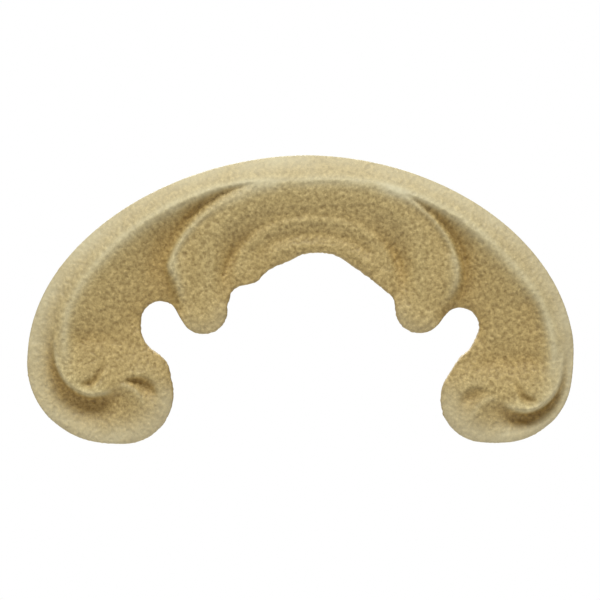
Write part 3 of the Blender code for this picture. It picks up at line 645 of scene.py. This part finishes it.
def wear_and_highlight_field(form, rng):
    """How pale each place is painted, partly as wear and partly as painted highlight: along
    the rim and the rounds of the volutes, on the lobes, and in narrow bands on the leaf's own edges and
    the lips."""
    edge = outline_curve(LINE_STEP)
    width = np.mean(RIM_WIDTHS)
    across = np.abs(edge[:, 0]) / (ARCH_HALF_WIDTH - width)
    up = np.abs(edge[:, 1] - ARCH_Z) / (ARCH_RISE - width)
    outer = (across ** ARCH_POWER + up ** ARCH_POWER > 1.0) | (edge[:, 1] < LEFT_SCROLL[1])
    crest = smooth_line(rim_lines()[0][0], LINE_STEP)
    lobes = np.vstack([arc(LEFT_LOBE, 205, 370, LOBE_POINTS), arc(RIGHT_LOBE, 175, 320, LOBE_POINTS)])
    lips = [scroll_lip(LEFT_SCROLL, LEFT_SHIFTS), scroll_lip(RIGHT_SCROLL, RIGHT_SHIFTS)]
    beads = np.vstack([smooth_line(points, LINE_STEP) for points in leaf_beads() + leaf_crests()])
    of_leaf = ~outer & (np.abs(edge[:, 0] - LEAF_X) < LEAF_HALF_WIDTH - LEAF_FACE_INSET)
    narrow = np.vstack([edge[of_leaf]] + [smooth_line(points, LINE_STEP) for points in lips])
    # Pale along the outer edge, only where it stands raised: partly wear, partly painted highlight on the
    # rim
    wear_and_highlight = WIDE_WEAR_AND_HIGHLIGHT * band_along(edge[outer], WIDE_WEAR_AND_HIGHLIGHT_RADIUS)
    wear_and_highlight *= np.clip(WIDE_WEAR_AND_HIGHLIGHT_START + form, 0.0, 1.0)
    wear_and_highlight += LOBE_WEAR_AND_HIGHLIGHT * band_along(lobes, LOBE_WEAR_AND_HIGHLIGHT_RADIUS)
    on_top = CREST_WEAR_AND_HIGHLIGHT * band_along(crest, CREST_WEAR_AND_HIGHLIGHT_RADIUS)
    on_top += BEAD_WEAR_AND_HIGHLIGHT * band_along(beads, BEAD_WEAR_AND_HIGHLIGHT_RADIUS)
    on_top += NARROW_WEAR_AND_HIGHLIGHT * band_along(narrow, NARROW_WEAR_AND_HIGHLIGHT_RADIUS)
    # Pale on the crests, beads and lips, only on their raised side: partly wear, partly painted highlight
    wear_and_highlight += on_top * np.clip(WEAR_AND_HIGHLIGHT_START + WEAR_AND_HIGHLIGHT_GAIN * form, 0.0, 1.0)
    patches = grain_band(rng, WEAR_AND_HIGHLIGHT_PATCH_RADIUS, WEAR_AND_HIGHLIGHT_PATCH_DEPTH)
    return np.clip(wear_and_highlight * (1.0 + patches), 0.0, 1.0)


def skin_field():
    """The surface with the pulp's grain on it, no higher than the rim, and for each place
    the masks of its painted shade and highlight: how raised it is, its grain alone, and its pale bands of
    wear and painted highlight."""
    rng = np.random.default_rng(GRAIN_SEED)
    relief = relief_field()
    grain = np.zeros(relief.shape)
    for radius, depth in GRAIN_BANDS:
        grain += grain_band(rng, radius, depth)
    crumbs = grain_band(rng, CRUMB_RADIUS, 1.0)
    grain += CRUMB_HEIGHT * np.clip(crumbs - CRUMB_LEVEL, 0.0, OVER_LEVEL_LIMIT)
    pits = grain_band(rng, PIT_RADIUS, 1.0)
    grain -= PIT_DEPTH * np.clip(pits - PIT_LEVEL, 0.0, OVER_LEVEL_LIMIT)
    surface = np.minimum(relief + grain, max(RIM_CREST))
    covered = grid_cover().astype(float)
    around = blur(relief * covered, FORM_RADIUS / GRID_STEP)
    share = blur(covered, FORM_RADIUS / GRID_STEP)
    inner_share = np.clip(2.0 * share - 1.0, 0.0, 1.0)
    form = inner_share * (relief - around / np.maximum(share, 0.5)) / FORM_DEPTH
    form += LEVEL_SHARE * np.clip((relief - LEVEL_HEIGHT) / LEVEL_DEPTH, -1.0, 1.0)
    fine = (grain - blur(grain, FINE_RADIUS / GRID_STEP)) / FINE_DEPTH
    return surface, form, fine, wear_and_highlight_field(form, rng)


def ring_points(outline, inset):
    """The outline's points moved inwards, without those that would crowd in a bend."""
    tangent = np.roll(outline, -1, axis=0)[:, :2] - np.roll(outline, 1, axis=0)[:, :2]
    tangent /= np.linalg.norm(tangent, axis=1)[:, None]
    ring = outline[:, :2] + inset * np.column_stack([-tangent[:, 1], tangent[:, 0]])
    return ring[distance_to(ring, outline) > RING_SHARE * inset]


def front_points(outline):
    """Points (x, z) of the fine front: the outline, rings inside it and an even field."""
    rings = [ring_points(outline, inset) for inset in EDGE_RINGS]
    row_step = POINT_STEP * np.sqrt(0.75)
    rows = np.arange(GRID_LOW[1], GRID_HIGH[1], row_step)
    columns = np.arange(GRID_LOW[0], GRID_HIGH[0], POINT_STEP)
    across, up = np.meshgrid(columns, rows)
    across = across + POINT_STEP / 2 * (np.arange(len(rows)) % 2)[:, None]
    field = np.column_stack([across.ravel(), up.ravel()])
    field = field[inside(field, outline)]
    field = field[distance_to(field, outline) > EDGE_RINGS[-1] + FIELD_GAP]
    return np.vstack([outline[:, :2]] + rings + [field])


def edge_roll(points, outline):
    """How far the front drops towards the rounded edge."""
    near = np.clip(EDGE_ROLL - distance_to(points, outline), 0.0, EDGE_ROLL)
    return EDGE_ROLL - np.sqrt(EDGE_ROLL ** 2 - near ** 2)


def front_mesh(outline):
    """Points and triangles of the front; the outline's points come first, in order."""
    points = front_points(outline)
    border = [list(range(len(outline)))]
    found = delaunay_2d_cdt([Vector(point) for point in points], [], border, 1, SAME_POINT)
    flat = np.array([tuple(corner) for corner in found[0]])
    triangles = [list(face) for face in found[2]]
    return flat, triangles


def wall_points(outline, heights, rng):
    """Rows of points down the side wall, from under the front's edge to the back."""
    tangent = np.roll(outline, -1, axis=0)[:, :2] - np.roll(outline, 1, axis=0)[:, :2]
    tangent /= np.linalg.norm(tangent, axis=1)[:, None]
    outward = np.column_stack([tangent[:, 1], -tangent[:, 0]])
    noise = rng.standard_normal((WALL_ROWS, len(outline)))
    for axis in (0, 1):
        noise = (np.roll(noise, -1, axis) + 2.0 * noise + np.roll(noise, 1, axis)) / 4.0
    noise *= WALL_GRAIN / noise.std()
    rows = []
    for k, share in enumerate(np.linspace(1.0, 0.0, WALL_ROWS + 1)[1:-1]):
        place = outline + outward * noise[k][:, None]
        depth = FOOT_HEIGHT + (heights - FOOT_HEIGHT) * share
        rows.append(np.column_stack([place[:, 0], -depth, place[:, 1]]))
    back = outline - outward * BACK_INSET
    rows.append(np.column_stack([back[:, 0], np.zeros(len(outline)), back[:, 1]]))
    return rows


def wall_faces(count, front_count):
    """Faces of the side wall, row by row down from the front's edge, and the back."""
    loops = [list(range(count))]
    for k in range(WALL_ROWS):
        start = front_count + k * count
        loops.append(list(range(start, start + count)))
    faces = []
    for upper, lower in zip(loops[:-1], loops[1:]):
        for i in range(count):
            j = (i + 1) % count
            faces.append([upper[i], lower[i], lower[j], upper[j]])
    return faces + [loops[-1]]


def applique_mesh():
    """The whole piece as one mesh, with what its colour's painted shade and highlight follow kept on its
    points.
    """
    surface, form, fine, wear_and_highlight = skin_field()
    outline = outline_curve(OUTLINE_STEP)[:, :2]
    flat, triangles = front_mesh(outline)
    heights = field_at(surface, flat) - edge_roll(flat, outline_curve(LINE_STEP)[:, :2])
    count = len(outline)
    front = np.column_stack([flat[:, 0], -heights, flat[:, 1]])
    rows = wall_points(outline, heights[:count], np.random.default_rng(WALL_SEED))
    points = np.vstack([front] + rows)
    faces = triangles + wall_faces(count, len(front))

    mesh = bpy.data.meshes.new(PIECE_NAME)
    mesh.from_pydata([tuple(point * MM) for point in points], [], faces)
    mesh.update()
    for name, field in (("raised", form), ("grain", fine), ("painted_highlight_and_wear", wear_and_highlight)):
        values = np.zeros(len(points), dtype=np.float32)
        values[:len(flat)] = field_at(field, flat)
        mesh.attributes.new(name, "FLOAT", "POINT").data.foreach_set("value", values)
    mesh.shade_smooth()
    mesh.set_sharp_from_angle(angle=np.radians(SHARP_ANGLE))
    return mesh


# Finish

def add_node(tree, kind, **inputs):
    """A new node with its sockets set; an underscore stands for a space in their names."""
    node = tree.nodes.new(kind)
    for name, value in inputs.items():
        node.inputs[name.replace("_", " ")].default_value = value
    return node


def add_noise(tree, where, scale, detail, roughness=0.5):
    noise = add_node(tree, "ShaderNodeTexNoise", Scale=scale, Detail=detail, Roughness=roughness)
    tree.links.new(where, noise.inputs["Vector"])
    return noise.outputs["Fac"]


def add_ramp(tree, value, stops):
    ramp = tree.nodes.new("ShaderNodeValToRGB")
    elements = ramp.color_ramp.elements
    while len(elements) < len(stops):
        elements.new(1.0)
    for element, (place, color) in zip(elements, stops):
        element.position = place
        element.color = (*color, 1.0)
    tree.links.new(value, ramp.inputs["Fac"])
    return ramp.outputs["Color"]


def add_mix(tree, mode, share, under, over):
    """Mixes one colour over another; share is a number or a socket."""
    mix = tree.nodes.new("ShaderNodeMix")
    mix.data_type = "RGBA"
    mix.blend_type = mode
    if isinstance(share, float):
        mix.inputs["Factor"].default_value = share
    else:
        tree.links.new(share, mix.inputs["Factor"])
    tree.links.new(under, mix.inputs[6])
    if isinstance(over, tuple):
        mix.inputs[7].default_value = (*over, 1.0)
    else:
        tree.links.new(over, mix.inputs[7])
    return mix.outputs[2]


def tint(tree, color, value, low, low_tint, high, high_tint):
    """The colour multiplied by a tint that follows a value."""
    tints = add_ramp(tree, value, [(low, low_tint), (high, high_tint)])
    return add_mix(tree, "MULTIPLY", 1.0, color, tints)


def add_range(tree, value, low, high, to_low=0.0, to_high=1.0):
    ends = {"From_Min": low, "From_Max": high, "To_Min": to_low, "To_Max": to_high}
    remap = add_node(tree, "ShaderNodeMapRange", **ends)
    tree.links.new(value, remap.inputs["Value"])
    return remap.outputs["Result"]


def mesh_value(tree, name):
    node = tree.nodes.new("ShaderNodeAttribute")
    node.attribute_name = name
    return node.outputs["Fac"]


def pulp_colour_and_painted_light():
    """Pressed wood pulp: matt and speckled. Its colour holds painted highlight where it is
    raised, painted shade in the hollows and pits, and pale bands of wear and painted highlight."""
    material = bpy.data.materials.new("wood_pulp_and_painted_light")
    material.use_nodes = True
    tree = material.node_tree
    shader = tree.nodes["Principled BSDF"]
    shader.inputs["Specular IOR Level"].default_value = SHEEN_LEVEL
    place = tree.nodes.new("ShaderNodeTexCoord").outputs["Object"]

    mottle = add_noise(tree, place, MOTTLE_SCALE, MOTTLE_DETAIL)
    color = add_ramp(tree, mottle, [(NOISE_LOW, MOTTLE_DARK), (NOISE_HIGH, MOTTLE_PALE)])
    raised = add_range(tree, mesh_value(tree, "raised"), -1.0, 1.0)
    # Painted shade: browner and darker in the hollows; painted highlight: paler where raised
    color = tint(tree, color, raised, 0.0, HOLLOW_SHADE_TINT, 1.0, CREST_HIGHLIGHT_TINT)
    grain = add_range(tree, mesh_value(tree, "grain"), -1.0, 1.0)
    # Painted shade in the grain's pits, painted highlight on its crumbs
    color = tint(tree, color, grain, 0.0, PIT_SHADE_TINT, 1.0, CRUMB_HIGHLIGHT_TINT)
    speck = add_noise(tree, place, SPECK_SCALE, SPECK_DETAIL, SPECK_ROUGHNESS)
    color = tint(tree, color, speck, NOISE_LOW, SPECK_DARK, NOISE_HIGH, SPECK_PALE)
    # Pale bands over the colour: partly wear, partly painted highlight
    color = add_mix(tree, "MIX", mesh_value(tree, "painted_highlight_and_wear"), color, WEAR_AND_HIGHLIGHT_COLOR)
    tree.links.new(color, shader.inputs["Base Color"])

    dull = add_noise(tree, place, MOTTLE_SCALE, DULL_DETAIL)
    roughness = add_range(tree, dull, NOISE_LOW, NOISE_HIGH, *ROUGHNESS_RANGE)
    tree.links.new(roughness, shader.inputs["Roughness"])
    bumps = add_noise(tree, place, BUMP_SCALE, BUMP_DETAIL, BUMP_ROUGHNESS)
    bump = add_node(tree, "ShaderNodeBump", Strength=BUMP_STRENGTH, Distance=BUMP_DEPTH * MM)
    tree.links.new(bumps, bump.inputs["Height"])
    tree.links.new(bump.outputs["Normal"], shader.inputs["Normal"])
    return material


def floor_finish():
    material = bpy.data.materials.new("studio_floor")
    material.use_nodes = True
    shader = material.node_tree.nodes["Principled BSDF"]
    shader.inputs["Base Color"].default_value = (*FLOOR_COLOR, 1.0)
    shader.inputs["Roughness"].default_value = FLOOR_ROUGHNESS
    return material


# Studio

def aim(thing, place, target):
    thing.location = place
    thing.rotation_euler = (Vector(target) - Vector(place)).to_track_quat("-Z", "Y").to_euler()


def add_light(name, place, target, size, power, color):
    light = bpy.data.lights.new(name, "AREA")
    light.shape = "RECTANGLE"
    light.size, light.size_y = size
    light.energy = power
    light.color = color
    lamp = bpy.data.objects.new(name, light)
    aim(lamp, place, target)
    bpy.context.scene.collection.objects.link(lamp)


def add_world():
    """White to the camera, and a weaker fill as a light."""
    world = bpy.data.worlds.new("studio")
    world.use_nodes = True
    tree = world.node_tree
    fill = tree.nodes["Background"]
    fill.inputs["Color"].default_value = (*FILL_COLOR, 1.0)
    fill.inputs["Strength"].default_value = FILL_STRENGTH
    seen = tree.nodes.new("ShaderNodeBackground")
    seen.inputs["Color"].default_value = (1.0, 1.0, 1.0, 1.0)
    path = tree.nodes.new("ShaderNodeLightPath")
    mix = tree.nodes.new("ShaderNodeMixShader")
    tree.links.new(path.outputs["Is Camera Ray"], mix.inputs[0])
    tree.links.new(fill.outputs[0], mix.inputs[1])
    tree.links.new(seen.outputs[0], mix.inputs[2])
    tree.links.new(mix.outputs[0], tree.nodes["World Output"].inputs["Surface"])
    bpy.context.scene.world = world


def add_floor():
    mesh = bpy.data.meshes.new("studio_floor")
    half = FLOOR_SIZE / 2
    corners = [(-half, -half), (half, -half), (half, half), (-half, half)]
    mesh.from_pydata([(x, y, FLOOR_Z) for x, y in corners], [], [(0, 1, 2, 3)])
    mesh.materials.append(floor_finish())
    floor = bpy.data.objects.new("studio_floor", mesh)
    bpy.context.scene.collection.objects.link(floor)


def add_camera():
    camera_data = bpy.data.cameras.new("photo_camera")
    camera_data.sensor_width = SENSOR_WIDTH
    camera_data.lens = SENSOR_WIDTH * CAMERA_DISTANCE / VIEW_WIDTH
    camera = bpy.data.objects.new("photo_camera", camera_data)
    target = Vector((VIEW_CENTRE[0], -MEAN_DEPTH, VIEW_CENTRE[1])) * MM
    aim(camera, target + Vector((0.0, -CAMERA_DISTANCE * MM, 0.0)), target)
    bpy.context.scene.collection.objects.link(camera)
    bpy.context.scene.camera = camera


def main():
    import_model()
    applique = bpy.data.objects.new(PIECE_NAME, applique_mesh())
    applique.data.materials.append(pulp_colour_and_painted_light())
    bpy.context.scene.collection.objects.link(applique)
    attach(applique, "root")
    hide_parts("scroll_applique")
    add_floor()
    add_world()
    add_light("key", KEY_PLACE, KEY_TARGET, KEY_SIZE, KEY_POWER, KEY_COLOR)
    add_light("rear", REAR_PLACE, KEY_TARGET, REAR_SIZE, REAR_POWER, KEY_COLOR)
    add_camera()
    bpy.context.scene.view_settings.view_transform = "Standard"


main()
